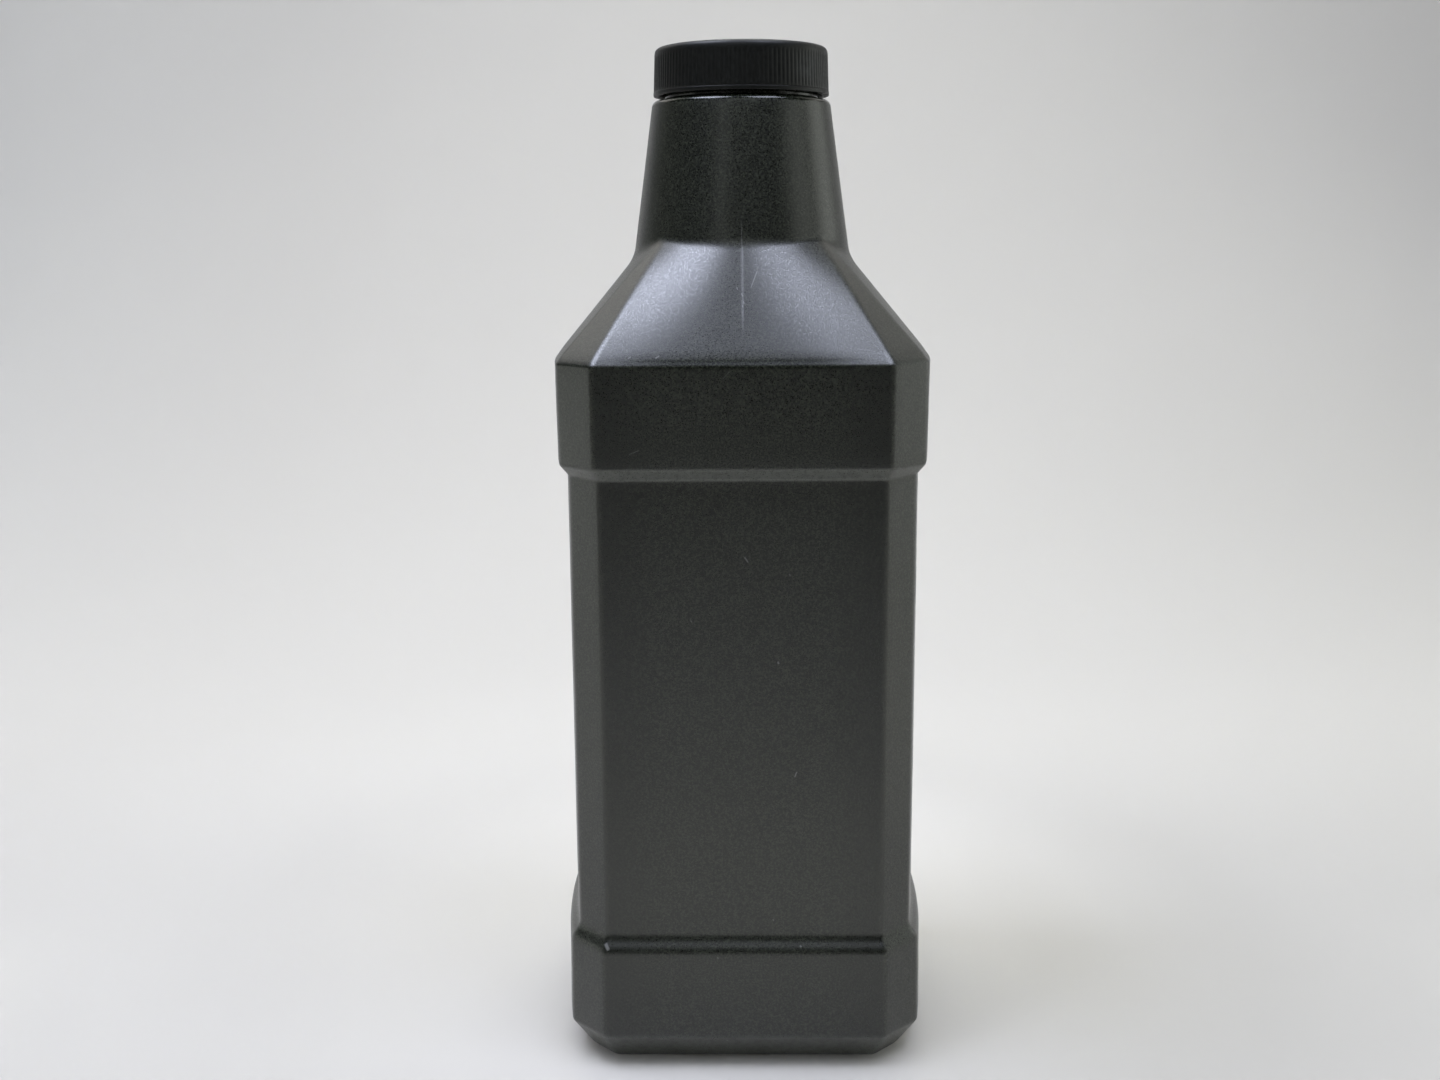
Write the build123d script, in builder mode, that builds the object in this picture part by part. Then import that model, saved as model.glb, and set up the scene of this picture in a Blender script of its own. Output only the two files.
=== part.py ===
from build123d import *
import os
from math import cos, radians, sin, sqrt

os.makedirs("parts", exist_ok=True)

# A blow-moulded one-litre oil bottle with a ribbed screw cap. Millimetres, +Z up.
# The origin is the middle of the base, on the surface that the bottle stands on.
# -Y is the front face, which carries the mould's parting line; +X is a label face.

# Body in plan: flat front and back, crowned label faces, chamfered corners. Each band is a
# little wider at its outer end, at the heel and under the shoulder.
body_depth = 81.0
body_width = 80.2
side_crown = 2.65
corner_cut = 8.1
waist_step = 1.95
band_flare = 0.25

# Body from the base up, each height added to the one before. The upper band's rim is bevelled
# by band_edge where it meets the shoulder.
heel_height = 8.0
base_band_height = 21.0
base_bevel_height = 2.3
waist_height = 105.5
upper_bevel_height = 2.4
upper_band_height = 23.0
band_edge = 0.8

# Heel and base
heel_inset = 5.2
heel_radius = 4.5
base_recess_height = 2.4
base_recess_margin = 13.0
base_recess_corner = 12.0
base_recess_taper = 50

# Shoulder: eight facets that run from the body's corners up into the neck's cone, where a
# hidden ring ends them. The overlaps say how far inside the cone the ring lies at each place.
shoulder_height = 24.8
ring_rise = 2.0
ring_front_overlap = 1.15
ring_side_overlap = 3.8
ring_front_ridge_overlap = 1.3
ring_side_ridge_overlap = 2.2
front_ridge_angle = 47.3
side_ridge_angle = 51.4

# Neck: a cone with a rounded rim, buried in the shoulder at its foot
neck_height = 31.5
neck_base_radius = 24.65
neck_top_radius = 20.35
neck_rim_radius = 1.4
neck_foot_depth = 7.0

# Finish: the thick cylinder that the cap screws on
finish_radius = 17.5
finish_bore_radius = 15.6
finish_lip_radius = 0.5

# Wall of the blown shell
wall = 0.95
base_wall = 1.2

# Cap
cap_gap = 1.0
cap_height = 10.6
cap_radius = 19.85
cap_flange_radius = 20.05
cap_flange_height = 0.9
cap_edge_radius = 1.4
cap_bore_radius = 18.6
cap_top_wall = 1.3
rib_count = 120
rib_groove_depth = 0.28
rib_band_height = 7.9

# Sealing disc in the top of the cap
liner_thickness = 0.8
liner_clearance = 0.3

# Heights of the levels, worked out from the stack above
base_band_top = heel_height + base_band_height
waist_bottom = base_band_top + base_bevel_height
waist_top = waist_bottom + waist_height
upper_band_bottom = waist_top + upper_bevel_height
upper_band_top = upper_band_bottom + upper_band_height
neck_base = upper_band_top + shoulder_height
neck_rim = neck_base + neck_height
cap_bottom = neck_rim + cap_gap
cap_top = cap_bottom + cap_height
liner_top = cap_top - cap_top_wall
finish_top = liner_top - liner_thickness


def outline(height, front, side, front_reach, side_reach):
    """A closed section with four main faces and four corner facets, at one height.

    front and side are the ends of the corner facet at +X -Y. The two reaches say how far the
    middle of the front and of the side face stands from the axis.
    """
    with BuildSketch(Plane.XY.offset(height)) as section:
        with BuildLine():
            for turn in (1, -1):
                left = (-front.X * turn, front.Y * turn)
                right = (front.X * turn, front.Y * turn)
                near = (side.X * turn, side.Y * turn)
                far = (side.X * turn, -side.Y * turn)
                back = (front.X * turn, -front.Y * turn)
                if front_reach > -front.Y:
                    ThreePointArc(left, (0, -front_reach * turn), right)
                else:
                    Line(left, right)
                Line(right, near)
                ThreePointArc(near, (side_reach * turn, 0), far)
                Line(far, back)
        make_face()
    return section.sketch


def body_corner(inset):
    """The two ends of the body's corner facet, for a section moved inwards by inset."""
    half_width = body_width / 2 - inset
    half_depth = body_depth / 2 - inset
    cut = corner_cut - inset * (2 - sqrt(2))
    return Vector(half_width - cut, -half_depth), Vector(half_width, cut - half_depth)


def neck_radius(height):
    """The radius of the neck's cone at one height."""
    return neck_base_radius - (height - neck_base) / neck_height * (neck_base_radius - neck_top_radius)


def body_section(height, inset):
    """The body's section: straight front and back, crowned sides."""
    front, side = body_corner(inset)
    return outline(height, front, side, -front.Y, side.X + side_crown)


def ring_section(inset):
    """The ring inside the neck's cone where the shoulder's facets end."""
    radius = neck_radius(neck_base + ring_rise) - inset

    def ridge(angle, overlap):
        reach = radius - overlap
        return Vector(reach * sin(radians(angle)), -reach * cos(radians(angle)))

    front = ridge(front_ridge_angle, ring_front_ridge_overlap)
    side = ridge(side_ridge_angle, ring_side_ridge_overlap)
    front_reach = radius - ring_front_overlap
    side_reach = radius - ring_side_overlap
    return outline(neck_base + ring_rise, front, side, front_reach, side_reach)


def shell_sections(inset, floor, floor_inset):
    """The sections from the base to the ring in the neck, moved inwards by inset."""
    return [
        body_section(floor, floor_inset),
        body_section(heel_height, inset - band_flare),
        body_section(base_band_top, inset),
        body_section(waist_bottom, inset + waist_step),
        body_section(waist_top, inset + waist_step),
        body_section(upper_band_bottom, inset),
        body_section(upper_band_top - band_edge, inset - band_flare),
        body_section(upper_band_top, inset - band_flare + band_edge / 2),
        ring_section(inset),
    ]


# The bottle: one blown shell, open at the finish
with BuildPart() as bottle:
    loft(shell_sections(0, 0, heel_inset), ruled=True)
    base_edges = bottle.edges().group_by(Axis.Z)[0]
    fillet(base_edges, heel_radius)

    # Outside of the neck and of the finish
    neck_foot = neck_base - neck_foot_depth
    with BuildSketch(Plane.XZ):
        with BuildLine():
            Polyline(
                (0, neck_foot),
                (neck_radius(neck_foot), neck_foot),
                (neck_top_radius, neck_rim),
                (finish_radius, neck_rim),
                (finish_radius, finish_top),
                (0, finish_top),
                (0, neck_foot),
            )
        make_face()
    revolve(axis=Axis.Z)
    rim_edges = bottle.edges().filter_by(GeomType.CIRCLE).filter_by(
        lambda edge: abs(edge.center().Z - neck_rim) < 0.01
    )
    fillet(rim_edges.sort_by(SortBy.RADIUS)[-1:], neck_rim_radius)
    fillet(bottle.edges().group_by(Axis.Z)[-1], finish_lip_radius)

    # Inside of the body, and of the neck up through the finish
    loft(shell_sections(wall, base_wall, heel_inset + wall), ruled=True, mode=Mode.SUBTRACT)
    with BuildSketch(Plane.XZ):
        with BuildLine():
            Polyline(
                (0, neck_foot),
                (neck_radius(neck_foot) - wall, neck_foot),
                (neck_top_radius - wall, neck_rim - neck_top_radius + finish_bore_radius),
                (finish_bore_radius, neck_rim - wall),
                (finish_bore_radius, finish_top),
                (0, finish_top),
                (0, neck_foot),
            )
        make_face()
    revolve(axis=Axis.Z, mode=Mode.SUBTRACT)

    # The base is pushed up inside its standing ring, and the wall follows it
    recess_width = body_width - 2 * base_recess_margin
    recess_depth = body_depth - 2 * base_recess_margin
    with BuildSketch():
        RectangleRounded(
            recess_width + 2 * base_wall,
            recess_depth + 2 * base_wall,
            base_recess_corner + base_wall,
        )
    extrude(amount=base_recess_height + base_wall, taper=base_recess_taper)
    with BuildSketch():
        RectangleRounded(recess_width, recess_depth, base_recess_corner)
    extrude(amount=base_recess_height, taper=base_recess_taper, mode=Mode.SUBTRACT)

# The cap: a ribbed skirt between a plain flange and a rounded top, open underneath
with BuildPart() as cap:
    with BuildSketch(Plane.XY.offset(cap_bottom)):
        Circle(cap_flange_radius)
    extrude(amount=cap_flange_height)
    with BuildSketch(Plane.XY.offset(cap_bottom + cap_flange_height)):
        Circle(cap_radius)
        with PolarLocations(cap_radius, rib_count):
            Rectangle(rib_groove_depth * sqrt(2), rib_groove_depth * sqrt(2), rotation=45, mode=Mode.SUBTRACT)
    extrude(amount=rib_band_height)
    with BuildSketch(Plane.XY.offset(cap_bottom + cap_flange_height + rib_band_height)):
        Circle(cap_radius)
    extrude(amount=cap_height - cap_flange_height - rib_band_height)
    fillet(cap.edges().group_by(Axis.Z)[-1], cap_edge_radius)
    with BuildSketch(Plane.XY.offset(cap_bottom)):
        Circle(cap_bore_radius)
    extrude(amount=cap_height - cap_top_wall, mode=Mode.SUBTRACT)

# The sealing disc, face to face with the cap's top above and the lip below
with BuildPart() as cap_liner:
    with BuildSketch(Plane.XY.offset(finish_top)):
        Circle(cap_bore_radius - liner_clearance)
    extrude(amount=liner_thickness)

bottle.part.label = "bottle"
cap.part.label = "cap"
cap_liner.part.label = "cap_liner"
export_step(bottle.part, "parts/bottle.step")
export_step(cap.part, "parts/cap.step")
export_step(cap_liner.part, "parts/cap_liner.step")
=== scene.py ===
from math import atan2, cos, pi, radians, sin, sqrt

import bpy
from mathutils import Matrix, Vector, noise


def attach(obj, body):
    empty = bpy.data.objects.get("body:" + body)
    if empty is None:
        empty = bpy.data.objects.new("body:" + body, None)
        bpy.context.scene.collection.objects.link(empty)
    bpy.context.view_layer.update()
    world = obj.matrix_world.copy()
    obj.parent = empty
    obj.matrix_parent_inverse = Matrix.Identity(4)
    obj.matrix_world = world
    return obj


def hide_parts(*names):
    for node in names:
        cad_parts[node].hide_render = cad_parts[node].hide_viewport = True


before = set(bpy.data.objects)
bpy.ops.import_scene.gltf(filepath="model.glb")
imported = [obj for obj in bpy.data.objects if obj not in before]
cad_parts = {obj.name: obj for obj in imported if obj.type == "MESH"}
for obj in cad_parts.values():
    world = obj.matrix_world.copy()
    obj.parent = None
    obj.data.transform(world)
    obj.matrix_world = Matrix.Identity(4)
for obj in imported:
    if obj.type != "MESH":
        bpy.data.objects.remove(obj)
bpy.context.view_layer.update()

# The looks of a blow-moulded one-litre oil bottle with a ribbed screw cap.
# Lengths are in millimetres in this script, and become metres where a mesh is written.
MM = 0.001

# Body in plan, as in the solids
BODY_DEPTH = 81.0
BODY_WIDTH = 80.2
SIDE_CROWN = 2.65
CORNER_CUT = 8.1
WAIST_STEP = 1.95
BAND_FLARE = 0.25
BAND_EDGE = 0.8
FRONT_HALF_WIDTH = BODY_WIDTH / 2 - CORNER_CUT
RIM_INSET = BAND_EDGE / 2 - BAND_FLARE

# Heights as in the solids, each worked out from the one below or above it
HEEL_TOP = 8.0
BASE_BAND_TOP = HEEL_TOP + 21.0
WAIST_BOTTOM = BASE_BAND_TOP + 2.3
WAIST_TOP = WAIST_BOTTOM + 105.5
UPPER_BAND_BOTTOM = WAIST_TOP + 2.4
UPPER_BAND_TOP = UPPER_BAND_BOTTOM + 23.0
NECK_BASE = UPPER_BAND_TOP + 24.8
RING_HEIGHT = NECK_BASE + 2.0
NECK_RIM = NECK_BASE + 31.5
CAP_BOTTOM = NECK_RIM + 1.0
FLANGE_TOP = CAP_BOTTOM + 0.9
RIB_TOP = FLANGE_TOP + 7.9
CAP_TOP = CAP_BOTTOM + 10.6
CAP_INNER_TOP = CAP_TOP - 1.3
FINISH_TOP = CAP_INNER_TOP - 0.8

# Heel and base. The bottle stands on a ring between STAND_OUTSIDE and STAND_INSIDE, and the
# base is pushed up within it. Each place is given by its distance from the body's outline.
HEEL_INSET = 5.2
HEEL_ROUND = 2.43
STAND_OUTSIDE = 9.5
STAND_INSIDE = 12.0
RECESS_FOOT = 13.2
RECESS_TOP = 16.4
RECESS_MIDDLE = 32
RECESS_HEIGHT = 2.4

# Corners of the recess: their radius at one distance from the body's outline
RECESS_CORNER = 12.0
RECESS_CORNER_MARGIN = 13.0
RECESS_CORNER_LEAST = 0.5
RECESS_RIDGE_ROUND = 0.4

# Ring inside the neck's cone where the shoulder's facets end
RING_FRONT_OVERLAP = 1.15
RING_SIDE_OVERLAP = 3.8
RING_FRONT_RIDGE_OVERLAP = 1.3
RING_SIDE_RIDGE_OVERLAP = 2.2
FRONT_RIDGE_ANGLE = 47.3
SIDE_RIDGE_ANGLE = 51.4

# Neck, finish and wall
NECK_BASE_RADIUS = 24.65
NECK_TOP_RADIUS = 20.35
NECK_RIM_ROUND = 1.4
FINISH_RADIUS = 17.5
FINISH_FOOT = NECK_RIM + 0.5
FINISH_FOOT_ROUND = 0.45
FINISH_BORE = 15.6
LIP_ROUND = 0.5
LIP_START = FINISH_TOP - 0.7
WALL = 0.95
BASE_WALL = 1.2
INNER_ROUND = 0.5

# Threads. THREAD_CREST and THREAD_ROOT are half widths, THREAD_FADE is the angle over which
# each end runs out, and THREAD_STEP is the distance between the rings of the finish.
THREAD_LEAD = 4.23
THREAD_LOW = NECK_RIM + 2.4
THREAD_HEIGHT = 0.8
THREAD_CREST = 0.35
THREAD_ROOT = 0.92
THREAD_FADE = radians(28)
FINISH_THREAD_TURNS = 1.25
CAP_THREAD_TURNS = 1.15
THREAD_STEP = 0.22

# Cap and its sealing disc. RIB_SHAPE is how deep the groove is at each point of one rib.
FLANGE_RADIUS = 20.05
RIB_LOW_RADIUS = 19.98
RIB_HIGH_RADIUS = 19.72
RIB_COUNT = 120
RIB_DEPTH = 0.12
RIB_SHAPE = (1, 0.45, 0.05, 0, 0.05, 0.45)
CAP_EDGE_ROUND = 1.4
CAP_BORE = 18.6
LINER_RADIUS = CAP_BORE - 0.3
LINER_PRESSED = 0.12

# Shallow dish in the top of the cap, with the gate's raised mark in its middle. Both depths
# are measured from the top.
DISH_RADIUS = 16.2
DISH_FLOOR_RADIUS = 15.7
DISH_DEPTH = 0.3
GATE_FOOT_RADIUS = 1.6
GATE_RADIUS = 1.3
GATE_DEPTH = 0.1

# Softness of the mould's edges: how far from a corner its rounding begins
RIDGE_ROUND = 1.0
BEVEL_ROUND = 0.55
BASE_BEVEL_ROUND = 1.3

# The bevel above the base band reaches this much further down and up than in the solids
BEVEL_SPREAD = 0.1

# The rim of the upper band is drawn in by RIM_ROUND, which fades out over RIM_REACH above it
RIM_ROUND = 0.2
RIM_REACH = 2.6

# Width of the blend between the shoulder and the neck's cone, which grows from the front round
# to the side. The limits are values of (x / radius) ** 2.
FRONT_BLEND = 0.65
SIDE_BLEND = 1.6
FRONT_BLEND_LIMIT = 0.35
SIDE_BLEND_LIMIT = 0.75

# Hollows of the blown wall, with scales in features per millimetre
HOLLOW_DEPTH = 0.05
HOLLOW_SCALE = 0.03
SMALL_HOLLOW_SCALE = 0.07
SMALL_HOLLOW_SHIFT = Vector((9, 4, 2))

# Parting line down the middle of the front and back, which shows most on the shoulder
SEAM_HALF_WIDTH = 0.3
SEAM_HEIGHT = 0.035
SEAM_START = 166
SEAM_FULL = 172
SEAM_FADE = 188
SEAM_END = 193

# Points per quarter of a section. SEAM_STEPS holds the x of the first ones. SUPPORT is the
# distance from a ridge's rounding to the next point on the face beside it, and a rounding takes
# up at most ROUNDED_FACET_SHARE of the facet.
SEAM_STEPS = (0, 0.1, 0.2, 0.3, 0.6)
FRONT_STEPS = 18
CORNER_STEPS = 5
FACET_STEPS = 5
SIDE_STEPS = 14
SUPPORT = 0.3
ROUNDED_FACET_SHARE = 0.42


def lerp(a, b, t):
    return a + (b - a) * t


def smooth_step(low, high, value):
    """0 at low and 1 at high, with a smooth rise between them."""
    t = min(max((value - low) / (high - low), 0), 1)
    return t * t * (3 - 2 * t)


def smooth_max(a, b, width):
    """The larger of two radii, with a soft blend where they are within width of each other."""
    overlap = max(width - abs(a - b), 0) / width
    return max(a, b) + overlap * overlap * width / 4


# Sections: nine numbers that give one closed outline with four faces and four corner facets

def section(z, front, side, bulges, edge=RIDGE_ROUND):
    """front and side are the ends of the corner facet at +X -Y; bulges are those of the front,
    of the corner facet and of the side; edge is how far the ridges are rounded."""
    return (z, *front, *side, *bulges, edge)


def mix(a, b, t):
    """The section part of the way from a to b."""
    return tuple(lerp(x, y, t) for x, y in zip(a, b))


def body_section(z, inset):
    """The body's outline, moved inwards by inset."""
    half_width = BODY_WIDTH / 2 - inset
    half_depth = BODY_DEPTH / 2 - inset
    cut = CORNER_CUT - inset * (2 - sqrt(2))
    front = (half_width - cut, -half_depth)
    side = (half_width, cut - half_depth)
    return section(z, front, side, (0, 0, SIDE_CROWN))


def recess_section(z, margin):
    """The outline of the pushed-up base: a rounded rectangle, tighter towards its middle."""
    half_width = BODY_WIDTH / 2 - margin
    half_depth = BODY_DEPTH / 2 - margin
    corner = max(RECESS_CORNER - (margin - RECESS_CORNER_MARGIN) / 2, RECESS_CORNER_LEAST)
    front = (half_width - corner, -half_depth)
    side = (half_width, corner - half_depth)
    arc_bulge = corner * (1 - sqrt(0.5))
    return section(z, front, side, (0, arc_bulge, 0), RECESS_RIDGE_ROUND)


def cone_radius(z):
    """The outside of the neck at one height."""
    return lerp(NECK_BASE_RADIUS, NECK_TOP_RADIUS, (z - NECK_BASE) / (NECK_RIM - NECK_BASE))


def ring_section(inset):
    """Where the shoulder's facets end, inside the neck's cone."""
    radius = cone_radius(RING_HEIGHT) - inset

    def ridge(angle, overlap):
        reach = radius - overlap
        return reach * sin(radians(angle)), -reach * cos(radians(angle))

    front = ridge(FRONT_RIDGE_ANGLE, RING_FRONT_RIDGE_OVERLAP)
    side = ridge(SIDE_RIDGE_ANGLE, RING_SIDE_RIDGE_OVERLAP)
    front_bulge = radius - RING_FRONT_OVERLAP + front[1]
    side_bulge = radius - RING_SIDE_OVERLAP - side[0]
    return section(RING_HEIGHT, front, side, (front_bulge, 0, side_bulge))


def curve(a, corner, b, steps):
    """Points between a and b on the curve that rounds a corner, both ends left out."""
    points = []
    for i in range(1, steps):
        t = i / steps
        points.append(a * (1 - t) ** 2 + corner * (2 * t * (1 - t)) + b * t * t)
    return points


def quarter_points(outline):
    """One quarter of a section, from the middle of the front to the middle of the +X side."""
    _, fx, fy, sx, sy, front_bulge, corner_bulge, side_bulge, edge = outline
    front_corner = Vector((fx, fy))
    side_corner = Vector((sx, sy))
    facet = side_corner - front_corner
    along = facet.normalized()
    outward = Vector((along.y, -along.x))
    edge = min(edge, facet.length * ROUNDED_FACET_SHARE)

    def on_front(x):
        return Vector((x, fy - front_bulge * (1 - (x / fx) ** 2)))

    def on_facet(t):
        return front_corner + facet * t + outward * (corner_bulge * 4 * t * (1 - t))

    def on_side(y):
        return Vector((sx + side_bulge * (1 - (y / sy) ** 2), y))

    front_end = fx - edge
    seam_end = SEAM_STEPS[-1]
    fractions = [i / FRONT_STEPS for i in range(1, FRONT_STEPS)]
    fractions += [1 - SUPPORT / (front_end - seam_end), 1]
    points = [on_front(x) for x in SEAM_STEPS]
    points += [on_front(lerp(seam_end, front_end, f)) for f in fractions]
    start = edge / facet.length
    points += curve(points[-1], front_corner, on_facet(start), CORNER_STEPS)
    points += [on_facet(lerp(start, 1 - start, i / FACET_STEPS)) for i in range(FACET_STEPS + 1)]
    side_start = on_side(sy + edge)
    points += curve(points[-1], side_corner, side_start, CORNER_STEPS)
    points.append(side_start)
    first = sy + edge + SUPPORT
    points += [on_side(lerp(first, 0, i / SIDE_STEPS)) for i in range(SIDE_STEPS + 1)]
    return points


def whole_outline(outline):
    """All the points of a section, counterclockwise from the middle of the front."""
    quarter = quarter_points(outline)
    half = quarter + [Vector((p.x, -p.y)) for p in reversed(quarter[:-1])]
    return half + [Vector((-p.x, p.y)) for p in reversed(half[1:-1])]


# Rings: the points of one level of a surface, in space

def flat_ring(outline):
    return [Vector((p.x, p.y, outline[0])) for p in whole_outline(outline)]


def blended_ring(outline, inset=0):
    """A section's points, pushed out to the neck's cone where that is wider."""
    z = outline[0]
    cone = cone_radius(z) - inset
    points = []
    for p in whole_outline(outline):
        radius = p.length
        sideways = smooth_step(FRONT_BLEND_LIMIT, SIDE_BLEND_LIMIT, (p.x / radius) ** 2)
        scale = smooth_max(radius, cone, lerp(FRONT_BLEND, SIDE_BLEND, sideways)) / radius
        points.append(Vector((p.x * scale, p.y * scale, z)))
    return points


COLUMN_ANGLES = [atan2(p.y, p.x) for p in whole_outline(ring_section(0))]


def round_ring(radius, z, relief=None, angles=COLUMN_ANGLES):
    """A circle with the same columns as the sections, unless other angles are given.
    relief(angle, z) is added to the radius."""
    points = []
    for angle in angles:
        r = radius + (relief(angle, z) if relief else 0)
        points.append(Vector((r * cos(angle), r * sin(angle), z)))
    return points


def even_ring(radius, z, columns, relief=None):
    """A circle of points at equal distances."""
    return round_ring(radius, z, relief, [2 * pi * j / columns for j in range(columns)])


def rib_ring(radius, z, depth=0):
    """A circle of rounded ribs with narrow grooves between them."""
    columns = RIB_COUNT * len(RIB_SHAPE)
    points = []
    for j in range(columns):
        angle = 2 * pi * j / columns
        r = radius - depth * RIB_SHAPE[j % len(RIB_SHAPE)]
        points.append(Vector((r * cos(angle), r * sin(angle), z)))
    return points


def rounded_profile(corners, steps=4):
    """A polyline with some corners rounded. corners holds (a, b, rounding distance)."""
    points = []
    for i, (a, b, distance) in enumerate(corners):
        here = Vector((a, b))
        if distance == 0 or i in (0, len(corners) - 1):
            points.append(here)
            continue
        before = Vector(corners[i - 1][:2])
        after = Vector(corners[i + 1][:2])
        start = here + (before - here).normalized() * distance
        end = here + (after - here).normalized() * distance
        points += [start, *curve(start, here, end, steps), end]
    return points


def filled(points, spacing):
    """The same polyline with points added so that none are further apart than spacing."""
    result = [points[0]]
    for a, b in zip(points, points[1:]):
        count = max(int((b - a).length / spacing + 0.999), 1)
        result += [a.lerp(b, i / count) for i in range(1, count + 1)]
    return result


def thread_relief(start, turns, sign=1):
    """The height of a helical thread at an angle and a height, for a ring."""
    whole = 2 * pi * turns

    def relief(angle, z):
        best = 0
        first = (angle - start) % (2 * pi)
        for turn in range(int(turns) + 2):
            travelled = first + 2 * pi * turn
            if travelled > whole:
                break
            off = abs(z - THREAD_LOW - THREAD_LEAD * travelled / (2 * pi))
            height = 1 - smooth_step(THREAD_CREST, THREAD_ROOT, off)
            ends = smooth_step(0, THREAD_FADE, min(travelled, whole - travelled))
            best = max(best, height * ends)
        return sign * THREAD_HEIGHT * best

    return relief


# Meshes

def grid_faces(first, rings, columns):
    """Quads between rings of points that follow each other, each with the same columns."""
    faces = []
    for i in range(rings - 1):
        for j in range(columns):
            a = first + i * columns
            b = a + columns
            k = (j + 1) % columns
            faces.append((a + j, a + k, b + k, b + j))
    return faces


def fan_faces(centre, first, columns, rising):
    """Triangles between one point and a ring, facing along the way that the rings are listed."""
    pairs = [(first + j, first + (j + 1) % columns) for j in range(columns)]
    return [(centre, b, a) if rising else (centre, a, b) for a, b in pairs]


def closed_strip(rings, start_z, end_z):
    """Points and faces of one surface through all rings, closed by a point at each end."""
    columns = len(rings[0])
    points = [p for ring in rings for p in ring]
    faces = grid_faces(0, len(rings), columns)
    start = len(points)
    points += [Vector((0, 0, start_z)), Vector((0, 0, end_z))]
    faces += fan_faces(start, 0, columns, True)
    faces += fan_faces(start + 1, (len(rings) - 1) * columns, columns, False)
    return points, faces


def smooth_object(name, points, faces, material):
    """A smooth-shaded mesh object, from points in millimetres."""
    mesh = bpy.data.meshes.new(name)
    mesh.from_pydata([p * MM for p in points], [], faces)
    mesh.validate()
    mesh.polygons.foreach_set("use_smooth", [True] * len(mesh.polygons))
    mesh.materials.append(material)
    made = bpy.data.objects.new(name, mesh)
    bpy.context.scene.collection.objects.link(made)
    return made


def make_piece(name, points, faces, material, body, replaced):
    """A mesh piece that rides on a body and stands for a node."""
    piece = smooth_object(name, points, faces, material)
    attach(piece, body)
    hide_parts(replaced)


# The bottle

def soften(points):
    """Shallow hollows of a blown wall, and the parting line on the front and the back."""
    for p in points:
        outward = Vector((p.x, p.y, 0))
        if outward.length < 1:
            continue
        outward.normalize()
        broad = noise.noise(p * HOLLOW_SCALE)
        small = noise.noise(p * SMALL_HOLLOW_SCALE + SMALL_HOLLOW_SHIFT) / 2
        # The two noises reach down to -1.5 together, so the wall only ever sinks in
        sink = HOLLOW_DEPTH * (broad + small + 1.5)
        seam = 1 - smooth_step(0.3, 1, abs(p.x) / SEAM_HALF_WIDTH)
        shown = smooth_step(SEAM_START, SEAM_FULL, p.z) * smooth_step(SEAM_END, SEAM_FADE, p.z)
        rise = seam * SEAM_HEIGHT * lerp(0.1, 1, shown)
        p -= outward * (sink - rise)


def base_rings():
    """The pushed-up base, from its middle out to the standing ring."""
    profile = rounded_profile([
        (RECESS_MIDDLE, RECESS_HEIGHT, 0),
        (RECESS_TOP, RECESS_HEIGHT, 1.6),
        (RECESS_FOOT, 0, 1.0),
        (STAND_INSIDE, 0, 0),
    ])
    return [flat_ring(recess_section(z, margin)) for margin, z in filled(profile, spacing=4)]


def body_rings():
    """From the standing ring over the heel, the bands and the waist to the upper band's rim."""
    profile = rounded_profile([
        (STAND_OUTSIDE, 0, 0),
        (HEEL_INSET, 0, HEEL_ROUND),
        (-BAND_FLARE, HEEL_TOP, BEVEL_ROUND),
        (0, BASE_BAND_TOP - BEVEL_SPREAD, BASE_BEVEL_ROUND),
        (WAIST_STEP, WAIST_BOTTOM + BEVEL_SPREAD, BASE_BEVEL_ROUND),
        (WAIST_STEP, WAIST_TOP, BEVEL_ROUND),
        (0, UPPER_BAND_BOTTOM, BEVEL_ROUND),
        (-BAND_FLARE, UPPER_BAND_TOP - BAND_EDGE, BAND_EDGE / 2),
        (RIM_INSET + RIM_ROUND, UPPER_BAND_TOP, 0),
    ], steps=5)
    return [flat_ring(body_section(z, inset)) for inset, z in filled(profile, spacing=2.4)]


def shoulder_rings():
    """From the upper band's rim to the ring, closest together where the neck comes out."""
    ring = ring_section(0)
    shoulder = RING_HEIGHT - UPPER_BAND_TOP
    neck_start = 17
    neck_steps = 28
    heights = [0.3, 0.6, 1.0, 1.5, 2.0, 2.6, *range(4, neck_start)]
    heights += [lerp(neck_start, shoulder, i / neck_steps) for i in range(neck_steps + 1)][1:]
    rings = []
    for height in heights:
        round_off = RIM_ROUND * max(1 - height / RIM_REACH, 0) ** 2
        body_rim = body_section(UPPER_BAND_TOP, RIM_INSET + round_off)
        rings.append(blended_ring(mix(body_rim, ring, height / shoulder)))
    return rings


def neck_rings():
    """From above the ring over the neck's rim to the foot of the finish."""
    profile = rounded_profile([
        (cone_radius(RING_HEIGHT), RING_HEIGHT, 0),
        (NECK_TOP_RADIUS, NECK_RIM, NECK_RIM_ROUND),
        (FINISH_RADIUS, NECK_RIM, FINISH_FOOT_ROUND),
        (FINISH_RADIUS, FINISH_FOOT, 0),
    ], steps=6)
    return [round_ring(radius, z) for radius, z in filled(profile, spacing=1.8)[1:]]


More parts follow.
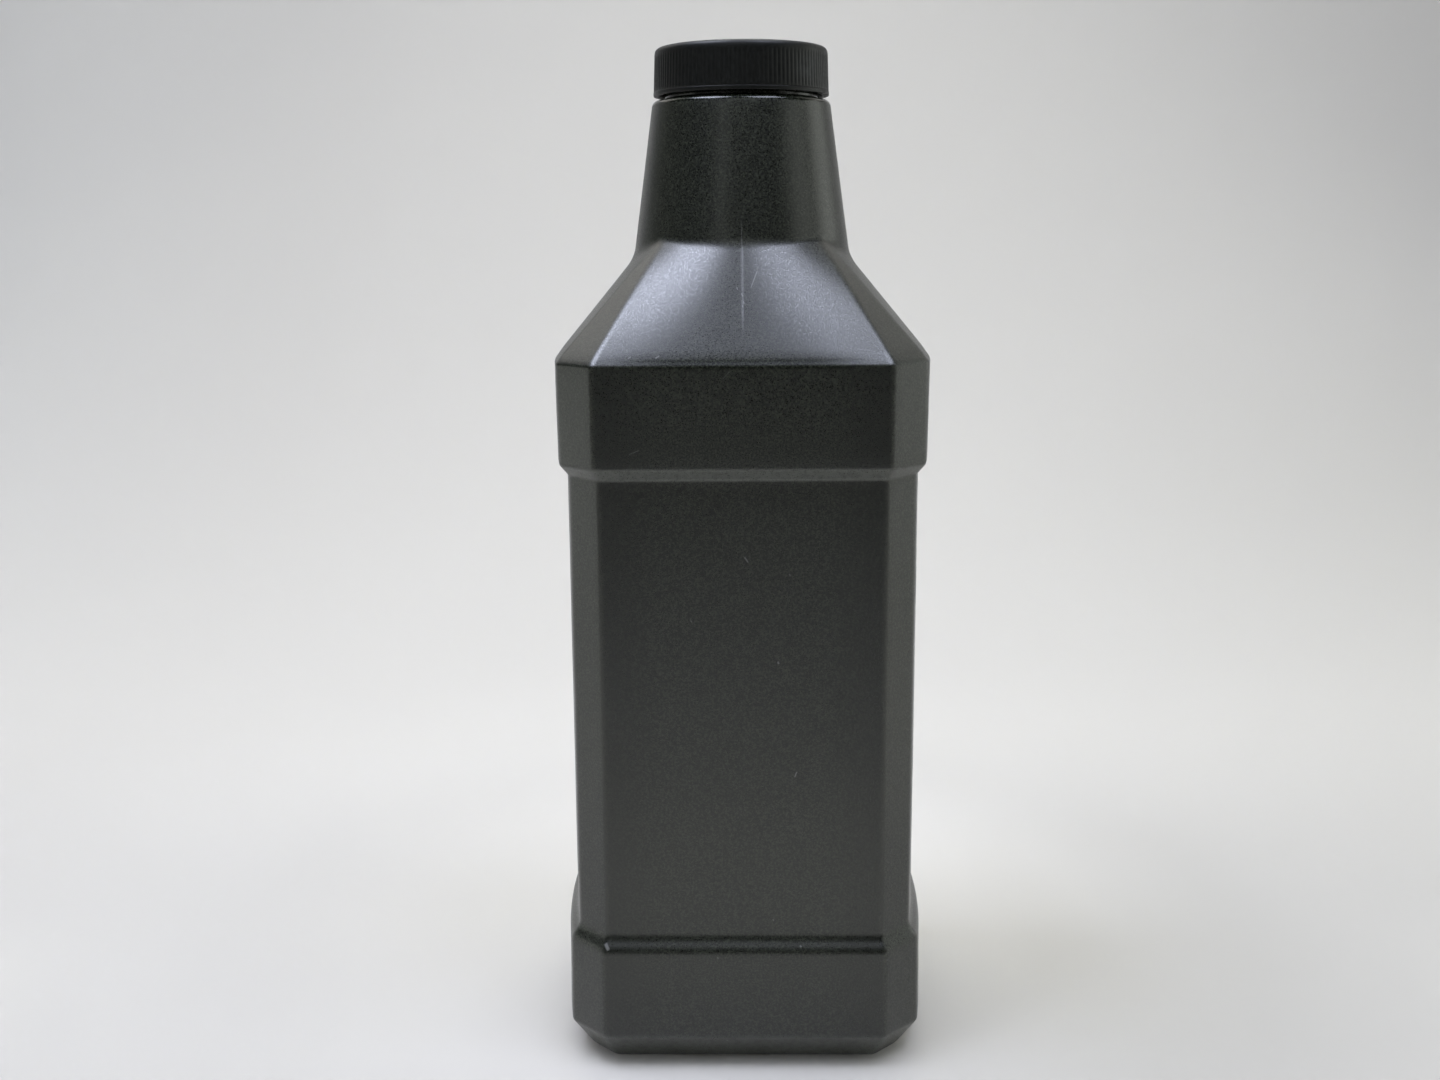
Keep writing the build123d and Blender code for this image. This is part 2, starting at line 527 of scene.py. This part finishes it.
def finish_rings():
    """The threaded finish, its lip, and the inside of the neck down to the ring."""
    thread = thread_relief(0, FINISH_THREAD_TURNS)
    count = int((LIP_START - FINISH_FOOT) / THREAD_STEP)
    heights = [FINISH_FOOT + THREAD_STEP * i for i in range(1, count + 1)]
    rings = [round_ring(FINISH_RADIUS, z, thread) for z in heights]
    lip = rounded_profile([
        (FINISH_RADIUS, LIP_START, 0),
        (FINISH_RADIUS, FINISH_TOP, LIP_ROUND),
        (FINISH_BORE, FINISH_TOP, 0.3),
        (FINISH_BORE, NECK_RIM - WALL, 0.6),
        (NECK_TOP_RADIUS - WALL, NECK_RIM - NECK_TOP_RADIUS + FINISH_BORE, 0.8),
        (cone_radius(RING_HEIGHT) - WALL, RING_HEIGHT, 0),
    ], steps=3)
    return rings + [round_ring(radius, z) for radius, z in filled(lip, spacing=6)]


def inside_rings():
    """The inside of the shoulder, the body and the base, down to the middle of the base."""
    rim = body_section(UPPER_BAND_TOP, WALL)
    ring = ring_section(WALL)
    steps = 18
    rings = [blended_ring(mix(ring, rim, i / steps), WALL) for i in range(1, steps + 1)]
    profile = rounded_profile([
        (WALL, UPPER_BAND_TOP, 0),
        (WALL, UPPER_BAND_BOTTOM, INNER_ROUND),
        (WAIST_STEP + WALL, WAIST_TOP, INNER_ROUND),
        (WAIST_STEP + WALL, WAIST_BOTTOM, INNER_ROUND),
        (WALL, BASE_BAND_TOP, INNER_ROUND),
        (WALL, HEEL_TOP, INNER_ROUND),
        (HEEL_INSET + WALL, BASE_WALL, 1.5),
        (STAND_OUTSIDE, BASE_WALL, 0),
    ], steps=2)
    rings += [flat_ring(body_section(z, inset)) for inset, z in filled(profile, spacing=12)[1:]]
    # The slope of the floor stands off that of the recess by about the base's wall
    raised = RECESS_HEIGHT + BASE_WALL
    slope_foot = RECESS_FOOT - 1.4
    slope_top = RECESS_TOP - BASE_WALL
    floor = [(slope_foot, BASE_WALL), (slope_top, raised), (RECESS_MIDDLE, raised)]
    return rings + [flat_ring(recess_section(z, margin)) for margin, z in floor]


def build_bottle(material):
    """One closed surface, from the middle of the base up the outside and down the inside."""
    outside = base_rings() + body_rings() + shoulder_rings() + neck_rings()
    soften([p for ring in outside for p in ring])
    rings = outside + finish_rings() + inside_rings()
    points, faces = closed_strip(rings, RECESS_HEIGHT, RECESS_HEIGHT + BASE_WALL)
    make_piece("bottle_shell", points, faces, material, "bottle", "bottle")


# The cap and its sealing disc

def cap_outside():
    """From the foot of the plain flange over the ribs and the dished top to the gate's mark."""
    foot = rounded_profile([
        (FLANGE_RADIUS - 0.35, CAP_BOTTOM, 0),
        (FLANGE_RADIUS, CAP_BOTTOM, 0.2),
        (FLANGE_RADIUS, FLANGE_TOP, 0.15),
        (FLANGE_RADIUS - 0.12, FLANGE_TOP, 0),
    ], steps=3)
    rings = [rib_ring(radius, z) for radius, z in foot]
    rib_low = FLANGE_TOP + 0.15
    rib_steps = 14
    for i in range(rib_steps + 1):
        t = i / rib_steps
        radius = lerp(RIB_LOW_RADIUS, RIB_HIGH_RADIUS, t)
        depth = RIB_DEPTH * smooth_step(0, 0.04, t) * (1 - smooth_step(0.95, 1, t))
        rings.append(rib_ring(radius, lerp(rib_low, RIB_TOP, t), depth))
    top = rounded_profile([
        (RIB_HIGH_RADIUS, RIB_TOP, 0),
        (RIB_HIGH_RADIUS - 0.1, CAP_TOP, CAP_EDGE_ROUND),
        (DISH_RADIUS, CAP_TOP, 0.4),
        (DISH_FLOOR_RADIUS, CAP_TOP - DISH_DEPTH, 0.4),
        (GATE_FOOT_RADIUS, CAP_TOP - DISH_DEPTH, 0.2),
        (GATE_RADIUS, CAP_TOP - GATE_DEPTH, 0.2),
        (0.6, CAP_TOP - GATE_DEPTH, 0),
    ], steps=6)
    return rings + [rib_ring(radius, z) for radius, z in filled(top, spacing=3)[1:]]


def cap_inside(columns):
    """From the middle of the underside of the top down the threaded bore to its foot."""
    thread = thread_relief(-pi, CAP_THREAD_TURNS, -1)
    rings = [even_ring(radius, CAP_INNER_TOP, columns) for radius in (2, 10, 16, CAP_BORE - 0.3)]
    rings.append(even_ring(CAP_BORE, CAP_INNER_TOP - 0.3, columns))
    wall_top = CAP_INNER_TOP - 0.5
    wall_low = CAP_BOTTOM + 0.3
    steps = 38
    for i in range(steps + 1):
        rings.append(even_ring(CAP_BORE, lerp(wall_top, wall_low, i / steps), columns, thread))
    rings.append(even_ring(CAP_BORE + 0.25, CAP_BOTTOM, columns))
    return rings


def build_cap(material):
    """The inside and the outside, which have different columns, joined at the foot."""
    outer = cap_outside()
    outer_columns = len(outer[0])
    columns = 2 * RIB_COUNT
    inner = cap_inside(columns)
    points = [p for ring in inner for p in ring]
    faces = grid_faces(0, len(inner), columns)
    first = len(points)
    points += [p for ring in outer for p in ring]
    faces += grid_faces(first, len(outer), outer_columns)
    share = outer_columns // columns
    last = (len(inner) - 1) * columns
    for j in range(columns):
        edge = [first + (j * share + k) % outer_columns for k in range(share, -1, -1)]
        faces.append((last + j, last + (j + 1) % columns, *edge))
    centre = len(points)
    points += [Vector((0, 0, CAP_INNER_TOP)), Vector((0, 0, CAP_TOP - GATE_DEPTH))]
    faces += fan_faces(centre, 0, columns, True)
    faces += fan_faces(centre + 1, first + (len(outer) - 1) * outer_columns, outer_columns, False)
    make_piece("screw_cap", points, faces, material, "cap", "cap")


def build_liner(material):
    """A foam disc with the ring that the bottle's lip has pressed into it."""
    middle = 2
    pressed_top = FINISH_TOP + LINER_PRESSED
    profile = rounded_profile([
        (middle, FINISH_TOP, 0),
        (FINISH_BORE - 0.5, FINISH_TOP, 0.4),
        (FINISH_BORE + 0.1, pressed_top, 0.3),
        (FINISH_RADIUS - 0.1, pressed_top, 0.3),
        (FINISH_RADIUS + 0.2, FINISH_TOP, 0.2),
        (LINER_RADIUS, FINISH_TOP, 0.2),
        (LINER_RADIUS, CAP_INNER_TOP, 0.2),
        (middle, CAP_INNER_TOP, 0),
    ], steps=3)
    rings = [even_ring(radius, z, columns=180) for radius, z in filled(profile, spacing=3)]
    points, faces = closed_strip(rings, FINISH_TOP, CAP_INNER_TOP)
    make_piece("sealing_disc", points, faces, material, "liner", "cap_liner")


# Materials

class Tree:
    """Short calls for one material's nodes. position is the place on the object in millimetres,
    and x, y and z are its parts."""

    def __init__(self, name):
        self.material = bpy.data.materials.new(name)
        self.material.use_nodes = True
        self.nodes = self.material.node_tree.nodes
        self.links = self.material.node_tree.links
        self.shader = self.nodes["Principled BSDF"]
        coordinates = self.nodes.new("ShaderNodeTexCoord").outputs["Object"]
        self.position = self.vector("SCALE", coordinates, scale=1 / MM)
        parts = self.nodes.new("ShaderNodeSeparateXYZ")
        self.put(parts.inputs[0], self.position)
        self.x, self.y, self.z = parts.outputs

    def put(self, socket, value):
        """Links value to the socket if it is an output, or else sets it."""
        if isinstance(value, bpy.types.NodeSocket):
            self.links.new(value, socket)
        else:
            socket.default_value = value

    def vector(self, operation, a, b=None, scale=None):
        node = self.nodes.new("ShaderNodeVectorMath")
        node.operation = operation
        self.put(node.inputs[0], a)
        if b is not None:
            self.put(node.inputs[1], b)
        if scale is not None:
            node.inputs["Scale"].default_value = scale
        return node.outputs["Value" if operation in ("DOT_PRODUCT", "LENGTH") else "Vector"]

    def math(self, operation, a, b=0.0):
        node = self.nodes.new("ShaderNodeMath")
        node.operation = operation
        self.put(node.inputs[0], a)
        self.put(node.inputs[1], b)
        return node.outputs[0]

    def product(self, first, *others):
        """All the values multiplied."""
        for other in others:
            first = self.math("MULTIPLY", first, other)
        return first

    def noise(self, scale, detail):
        """Noise from 0 to 1, with scale in features per millimetre."""
        node = self.nodes.new("ShaderNodeTexNoise")
        self.put(node.inputs["Vector"], self.position)
        node.inputs["Scale"].default_value = scale
        node.inputs["Detail"].default_value = detail
        return node.outputs[0]

    def span(self, value, low, high, to_low=0.0, to_high=1.0):
        """value from low to high, mapped smoothly to another range and held at its ends."""
        node = self.nodes.new("ShaderNodeMapRange")
        node.interpolation_type = "SMOOTHSTEP"
        self.put(node.inputs["Value"], value)
        node.inputs["From Min"].default_value = low
        node.inputs["From Max"].default_value = high
        node.inputs["To Min"].default_value = to_low
        node.inputs["To Max"].default_value = to_high
        return node.outputs[0]

    def between(self, value, rise, fall):
        """1 between two pairs of limits: it rises within the first and falls within the second."""
        return self.product(self.span(value, *rise), self.span(value, *fall, 1, 0))

    def blend(self, factor, a, b):
        """A colour between a and b."""
        node = self.nodes.new("ShaderNodeMix")
        node.data_type = "RGBA"
        self.put(node.inputs["Factor"], factor)
        for socket, colour in ((node.inputs[6], a), (node.inputs[7], b)):
            self.put(socket, colour if isinstance(colour, bpy.types.NodeSocket) else (*colour, 1))
        return node.outputs[2]

    def bump(self, height, distance, strength):
        node = self.nodes.new("ShaderNodeBump")
        node.inputs["Strength"].default_value = strength
        node.inputs["Distance"].default_value = distance * MM
        self.put(node.inputs["Height"], height)
        return node.outputs[0]

    def scratch(self, start, end, width):
        """A thin mark on the front, between two places (x, z)."""
        a = Vector((start[0], 0, start[1]))
        run = Vector((end[0], 0, end[1])) - a
        along = run.normalized()
        across = Vector((along.z, 0, -along.x))
        offset = self.vector("SUBTRACT", self.position, a)
        off = self.math("ABSOLUTE", self.vector("DOT_PRODUCT", offset, across))
        went = self.vector("DOT_PRODUCT", offset, along)
        thin = self.span(off, width * 0.3, width, 1, 0)
        long = self.between(went, (0, run.length * 0.2), (run.length * 0.8, run.length))
        return self.product(thin, long)

    def finish(self, colour, roughness, normal):
        """Links the material's main values to its shader."""
        self.put(self.shader.inputs["Base Color"], colour)
        self.put(self.shader.inputs["Roughness"], roughness)
        self.put(self.shader.inputs["Normal"], normal)
        return self.material


# Pale marks on the front, as (x, z) to (x, z), width and strength. The one at the left end of the
# base bevel is a painted glint.
MARKS = (
    ((3.5, 181.3), (1.8, 177.0), 0.16, 0.6),
    ((-1.1, 177.5), (-0.9, 176.9), 0.16, 0.6),
    ((-0.2, 176.3), (0.2, 175.5), 0.2, 0.6),
    ((0.3, 174.6), (0.5, 173.9), 0.18, 0.5),
    ((0.3, 120.0), (1.2, 118.6), 0.22, 0.5),
    ((10.0, 116.2), (10.4, 115.6), 0.2, 0.35),
    ((7.6, 96.5), (7.8, 95.8), 0.3, 0.6),
    ((11.9, 71.2), (11.3, 69.6), 0.2, 0.6),
    ((-11.6, 106.1), (-11.2, 105.3), 0.2, 0.3),
    ((-24.4, 142.6), (-21.8, 143.7), 0.2, 0.25),
    ((-4.3, 158.5), (-2.4, 160.6), 0.15, 0.2),
    ((-18.4, 163.0), (-17.4, 163.6), 0.2, 0.5),
    ((-24.2, 163.0), (-23.4, 163.4), 0.2, 0.5),
    # Painted glint at the left end of the base bevel
    ((-31.7, 30.4), (-30.8, 29.0), 0.55, 0.6),
    ((12.6, 30.0), (13.0, 29.7), 0.25, 0.6),
    ((6.5, 36.0), (6.7, 35.4), 0.22, 0.4),
    ((-6.2, 27.6), (-5.8, 27.2), 0.25, 0.3),
    ((-4.3, 6.8), (-3.6, 6.5), 0.25, 0.4),
)

# Colours of the black plastic, its pale grain, the painted highlight on its heel and on the bevel
# under its upper band, and its marks
PLASTIC_DARK = (0.0008, 0.0016, 0.0004)
PLASTIC_LIGHT = (0.0020, 0.0032, 0.0014)
GRAIN_COLOUR = (0.0312, 0.0354, 0.0245)
PAINTED_HIGHLIGHT_COLOUR = (0.055, 0.06, 0.05)
MARK_COLOUR = (0.22, 0.22, 0.215)

# Heights between which the rim of the neck turns smooth
SMOOTH_START = NECK_RIM - 1.3
SMOOTH_FULL = NECK_RIM - 0.8


def pale_marks(tree, beside):
    """The small marks, one of them a painted glint, and the parting line, on the front alone."""
    front = tree.span(tree.y, -14, -10, 1, 0)
    marks = 0.0
    for start, end, width, strength in MARKS:
        mark = tree.product(tree.scratch(start, end, width), strength)
        marks = tree.math("MAXIMUM", marks, mark)
    begun = tree.span(tree.z, SEAM_START, SEAM_FULL + 2, 0.05, 1)
    ended = tree.span(tree.z, SEAM_FADE, SEAM_END, 1, 0)
    line = tree.product(tree.span(beside, 0.08, 0.2, 0.2, 0), begun, ended)
    return tree.product(tree.math("MAXIMUM", marks, line), front)


def pale_grain_and_ridge_shade(tree, grain, beside):
    """The grain's strength, which is less on the front and back faces beside their ridges: painted
    shade that darkens the faces there.
    """
    towards_ridge = tree.span(beside, FRONT_HALF_WIDTH / 2, FRONT_HALF_WIDTH - 1)
    past_ridge = tree.span(beside, FRONT_HALF_WIDTH - 0.8, FRONT_HALF_WIDTH, 0.65, 0)
    below_rim = tree.span(tree.z, UPPER_BAND_TOP - 1.7, UPPER_BAND_TOP - 0.2, 1, 0)
    ridge_shade = tree.product(towards_ridge, past_ridge, below_rim)
    return tree.product(tree.span(grain, 0.44, 0.63), tree.math("SUBTRACT", 1.0, ridge_shade))


def painted_edge_highlights(tree):
    """A painted highlight, in patches, on the heel and on the bevel under the upper band."""
    heel = tree.span(tree.z, HEEL_TOP - 0.6, HEEL_TOP + 1, 1, 0)
    bevel_rise = (WAIST_TOP - 0.6, WAIST_TOP + 0.2)
    bevel_fall = (UPPER_BAND_BOTTOM - 0.3, UPPER_BAND_BOTTOM + 0.4)
    edges = tree.math("ADD", heel, tree.between(tree.z, bevel_rise, bevel_fall))
    return tree.product(edges, tree.span(tree.noise(0.8, 4), 0.3, 0.62, 0.35, 0.85))


def bottle_material():
    """Satin black polyethylene with a fine pale grain, thinned as painted shade beside the ridges
    of the front and the back, a painted highlight on the heel and on the bevel under the upper
    band, small pale marks and a smooth rim on the neck."""
    tree = Tree("bottle_plastic")
    beside = tree.math("ABSOLUTE", tree.x)
    cloud = tree.noise(0.04, 4)
    coarse = tree.noise(2.2, 3)
    fine = tree.noise(4.0, 2)
    grain = tree.math("ADD", tree.product(coarse, 0.6), tree.product(fine, 0.4))

    colour = tree.blend(cloud, PLASTIC_DARK, PLASTIC_LIGHT)
    # The grain is thinned beside the front and back ridges, as painted shade
    colour = tree.blend(pale_grain_and_ridge_shade(tree, grain, beside), colour, GRAIN_COLOUR)
    # Painted highlight on the heel and on the bevel under the upper band
    colour = tree.blend(painted_edge_highlights(tree), colour, PAINTED_HIGHLIGHT_COLOUR)
    colour = tree.blend(pale_marks(tree, beside), colour, MARK_COLOUR)

    # Satin all over, and smoother at the neck's rim
    satin = tree.math("ADD", tree.span(fine, 0.3, 0.7, 0.24, 0.44), tree.product(cloud, 0.04))
    roughness = tree.product(satin, tree.span(tree.z, SMOOTH_START, SMOOTH_FULL, 1, 0.5))

    # The upper band's rim reflects less in the middle of the front and of the back
    rim_rise = (UPPER_BAND_TOP - 1.8, UPPER_BAND_TOP - 1)
    rim_fall = (UPPER_BAND_TOP + 0.1, UPPER_BAND_TOP + 1.1)
    at_rim = tree.between(tree.z, rim_rise, rim_fall)
    less = tree.product(at_rim, tree.span(beside, 14, 29, 0.3, 0))
    level = tree.span(tree.z, SMOOTH_START, SMOOTH_FULL, 0.5, 0.24)
    tree.put(tree.shader.inputs["Specular IOR Level"], tree.math("SUBTRACT", level, less))
    tree.shader.inputs["IOR"].default_value = 1.65
    return tree.finish(colour, roughness, tree.bump(grain, 0.06, 0.3))


def cap_material():
    """The same plastic, moulded: darker, with a scuffed patch on the ribs."""
    tree = Tree("cap_plastic")
    grain = tree.noise(1.8, 3)
    cloud = tree.noise(0.12, 3)
    patch_middle = (15.5, -11.5, 224.0)
    from_middle = tree.vector("SUBTRACT", tree.position, patch_middle)
    flattened = tree.vector("MULTIPLY", from_middle, (1, 1, 1.5))
    near = tree.span(tree.vector("LENGTH", flattened), 1.0, 7.5, 1, 0)
    scuff = tree.product(near, tree.span(tree.noise(0.35, 5), 0.3, 0.7))
    colour = tree.blend(cloud, (0.0018, 0.0022, 0.0018), (0.0034, 0.0039, 0.0033))
    colour = tree.blend(tree.span(grain, 0.4, 0.65, 0, 0.5), colour, (0.007, 0.0077, 0.0068))
    colour = tree.blend(tree.product(scuff, 0.4), colour, (0.07, 0.074, 0.07))
    satin = tree.span(grain, 0.3, 0.7, 0.38, 0.5)
    roughness = tree.math("ADD", satin, tree.product(scuff, 0.15))
    tree.shader.inputs["IOR"].default_value = 1.38
    return tree.finish(colour, roughness, tree.bump(grain, 0.05, 0.25))


def liner_material():
    """Off-white foam with fine cells."""
    tree = Tree("liner_foam")
    cells = tree.noise(2.5, 4)
    colour = tree.blend(tree.noise(0.15, 2), (0.70, 0.68, 0.62), (0.80, 0.79, 0.74))
    return tree.finish(colour, tree.span(cells, 0.3, 0.7, 0.7, 0.85), tree.bump(cells, 0.06, 0.4))


# Studio: tones of the board, painted light and painted shadow among them
PAINTED_LIGHT_NEAR_TONE = (0.735, 0.702, 0.637)
MIDDLE_TONE = (0.65, 0.621, 0.565)
PAINTED_SHADE_FAR_TONE = (0.625, 0.597, 0.545)
PAINTED_LIGHT_LEFT_TONE = (0.71, 0.685, 0.63)
PAINTED_SHADE_RIGHT_TONE = (0.585, 0.559, 0.509)
PAINTED_SHADOW_LEFT_TONE = (0.59, 0.564, 0.515)
PAINTED_SHADOW_RIGHT_TONE = (0.515, 0.492, 0.447)
PAINTED_LIGHT_LIGHTEST_TONE = (0.765, 0.737, 0.63)


def stage_material():
    """A pale matte board that lets some light in under the edges of what stands on it. It is
    greyest beside the bottle, in a painted shadow, and lightest in front of it and far to its
    sides, in painted light."""
    tree = Tree("board")
    # Paler near the bottle, as painted light against its shadow, and darker far away, as painted
    # shade
    away = tree.vector("LENGTH", tree.position)
    colour = tree.blend(tree.span(away, 80, 320), PAINTED_LIGHT_NEAR_TONE, MIDDLE_TONE)
    colour = tree.blend(tree.span(away, 380, 640), colour, PAINTED_SHADE_FAR_TONE)

    # Painted light far to the left, and painted shade low down on the right
    colour = tree.blend(tree.span(tree.x, -520, -230, 1, 0), colour, PAINTED_LIGHT_LEFT_TONE)
    painted_shade_low_right = tree.product(tree.span(tree.x, 40, 420), tree.span(tree.z, 40, 160, 1, 0))
    colour = tree.blend(painted_shade_low_right, colour, PAINTED_SHADE_RIGHT_TONE)

    # Painted shadow around the bottle, but not close to it or far behind it
    painted_shadow = tree.blend(tree.span(tree.x, -150, 150), PAINTED_SHADOW_LEFT_TONE, PAINTED_SHADOW_RIGHT_TONE)
    shadow_ring_middle = (0, 40, 0)
    from_middle = tree.vector("LENGTH", tree.vector("SUBTRACT", tree.position, shadow_ring_middle))
    beside = tree.product(tree.span(from_middle, 55, 150), tree.span(tree.y, 40, 260, 1, 0))
    colour = tree.blend(beside, colour, painted_shadow)

    # Painted light far to the sides, and in front
    aside = tree.math("ABSOLUTE", tree.x)
    sides = tree.product(tree.span(aside, 165, 260), tree.span(tree.y, -35, 50, 1, 0))
    front = tree.between(tree.y, (-300, -160), (-90, -45))
    colour = tree.blend(tree.math("MAXIMUM", sides, front), colour, PAINTED_LIGHT_LIGHTEST_TONE)

    tree.put(tree.shader.inputs["Base Color"], colour)
    tree.shader.inputs["Roughness"].default_value = 0.9
    tree.shader.subsurface_method = "BURLEY"
    tree.shader.inputs["Subsurface Weight"].default_value = 1.0
    tree.shader.inputs["Subsurface Radius"].default_value = (1, 1, 1)
    tree.shader.inputs["Subsurface Scale"].default_value = 14 * MM
    return tree.material


def build_sweep(material):
    """The floor, which curves up behind the bottle into a backdrop."""
    front, bend, radius, height, half_width = -700, 700, 500, 2600, 3000
    bend_steps = 24
    profile = [(front, 0), (0, 0), (bend - radius, 0)]
    for i in range(1, bend_steps + 1):
        turn = radians(90 * i / bend_steps)
        profile.append((bend - radius + radius * sin(turn), radius - radius * cos(turn)))
    profile.append((bend, height))
    points = [Vector((x, y, z)) for x in (-half_width, half_width) for y, z in profile]
    count = len(profile)
    faces = [(i, i + count, i + count + 1, i + 1) for i in range(count - 1)]
    smooth_object("sweep", points, faces, material)


# Softboxes around the shoulder: name, azimuth from the front towards +X, elevation, distance,
# width, height, power in watts, colour
AIM = (0, -30, 175)
COOL = (0.775, 0.825, 1.0)
PLAIN = (0.96, 1.0, 0.94)
WARM = (1.0, 0.96, 0.9)
SOFTBOXES = (
    ("key_left", -77, 66, 800, 470, 300, 6.8, COOL),
    ("key_right", 54, 66, 800, 430, 300, 4.1, COOL),
    ("key_back", 178, 64, 800, 400, 300, 2.2, PLAIN),
    ("rim_left", -135, 40, 620, 300, 300, 0.35, WARM),
    ("rim_right", 135, 40, 620, 300, 300, 0.18, WARM),
    ("card_right", 110, 12, 620, 300, 400, 0.49, PLAIN),
    ("card_front_right", 72, 14, 620, 260, 400, 0.26, PLAIN),
    ("strip_front", -25, 18, 600, 70, 300, 0.076, PLAIN),
    ("fill_front", 0, 40, 800, 500, 250, 0.25, PLAIN),
    ("low_left", -99, -7.5, 630, 520, 170, 0.224, PLAIN),
    ("painted_shade_low_right", 99, -7.5, 630, 520, 170, 0.193, PLAIN),
)
ROOM_COLOUR = (0.95, 1, 0.8, 1)
ROOM_STRENGTH = 0.04


def add_softbox(name, azimuth, elevation, distance, width, height, power, colour):
    """A rectangular lamp that faces the aim, seen in reflections but not by the camera."""
    lamp = bpy.data.lights.new(name, "AREA")
    lamp.shape = "RECTANGLE"
    lamp.size = width * MM
    lamp.size_y = height * MM
    lamp.energy = power
    lamp.color = colour
    holder = bpy.data.objects.new(name, lamp)
    bpy.context.scene.collection.objects.link(holder)
    around, up = radians(azimuth), radians(elevation)
    away = Vector((cos(up) * sin(around), -cos(up) * cos(around), sin(up)))
    holder.location = (Vector(AIM) + away * distance) * MM
    holder.rotation_mode = "QUATERNION"
    holder.rotation_quaternion = (-away).to_track_quat("-Z", "Y")
    holder.visible_camera = False


def light_scene():
    """The softboxes, and the dim light of the room."""
    world = bpy.data.worlds.new("room")
    bpy.context.scene.world = world
    world.use_nodes = True
    background = world.node_tree.nodes["Background"]
    background.inputs["Color"].default_value = ROOM_COLOUR
    background.inputs["Strength"].default_value = ROOM_STRENGTH
    for softbox in SOFTBOXES:
        add_softbox(*softbox)


# Camera, fitted to the photograph
CAMERA_PLACE = (0, -371.2, 188.66)
CAMERA_PITCH = 11.045
CAMERA_YAW = -0.851
CAMERA_ROLL = -0.381
CAMERA_LENS = 39.15
CAMERA_SENSOR = 36


def place_camera():
    """Pitch is downwards, yaw towards +X and roll about the line of sight, in degrees."""
    yaw, pitch, roll = radians(CAMERA_YAW), radians(CAMERA_PITCH), radians(CAMERA_ROLL)
    forward = Vector((sin(yaw) * cos(pitch), cos(yaw) * cos(pitch), -sin(pitch)))
    level = Vector((cos(yaw), -sin(yaw), 0))
    above = level.cross(forward)
    right = level * cos(roll) + above * sin(roll)
    up = above * cos(roll) - level * sin(roll)
    data = bpy.data.cameras.new("camera")
    data.sensor_width = CAMERA_SENSOR
    data.lens = CAMERA_LENS
    data.clip_start = 0.01
    data.clip_end = 20
    camera = bpy.data.objects.new("camera", data)
    bpy.context.scene.collection.objects.link(camera)
    axes = Matrix((right, up, -forward)).transposed().to_4x4()
    camera.matrix_world = Matrix.Translation(Vector(CAMERA_PLACE) * MM) @ axes
    bpy.context.scene.camera = camera


place_camera()
build_bottle(bottle_material())
build_cap(cap_material())
build_liner(liner_material())
build_sweep(stage_material())
light_scene()
bpy.context.scene.view_settings.view_transform = "Standard"
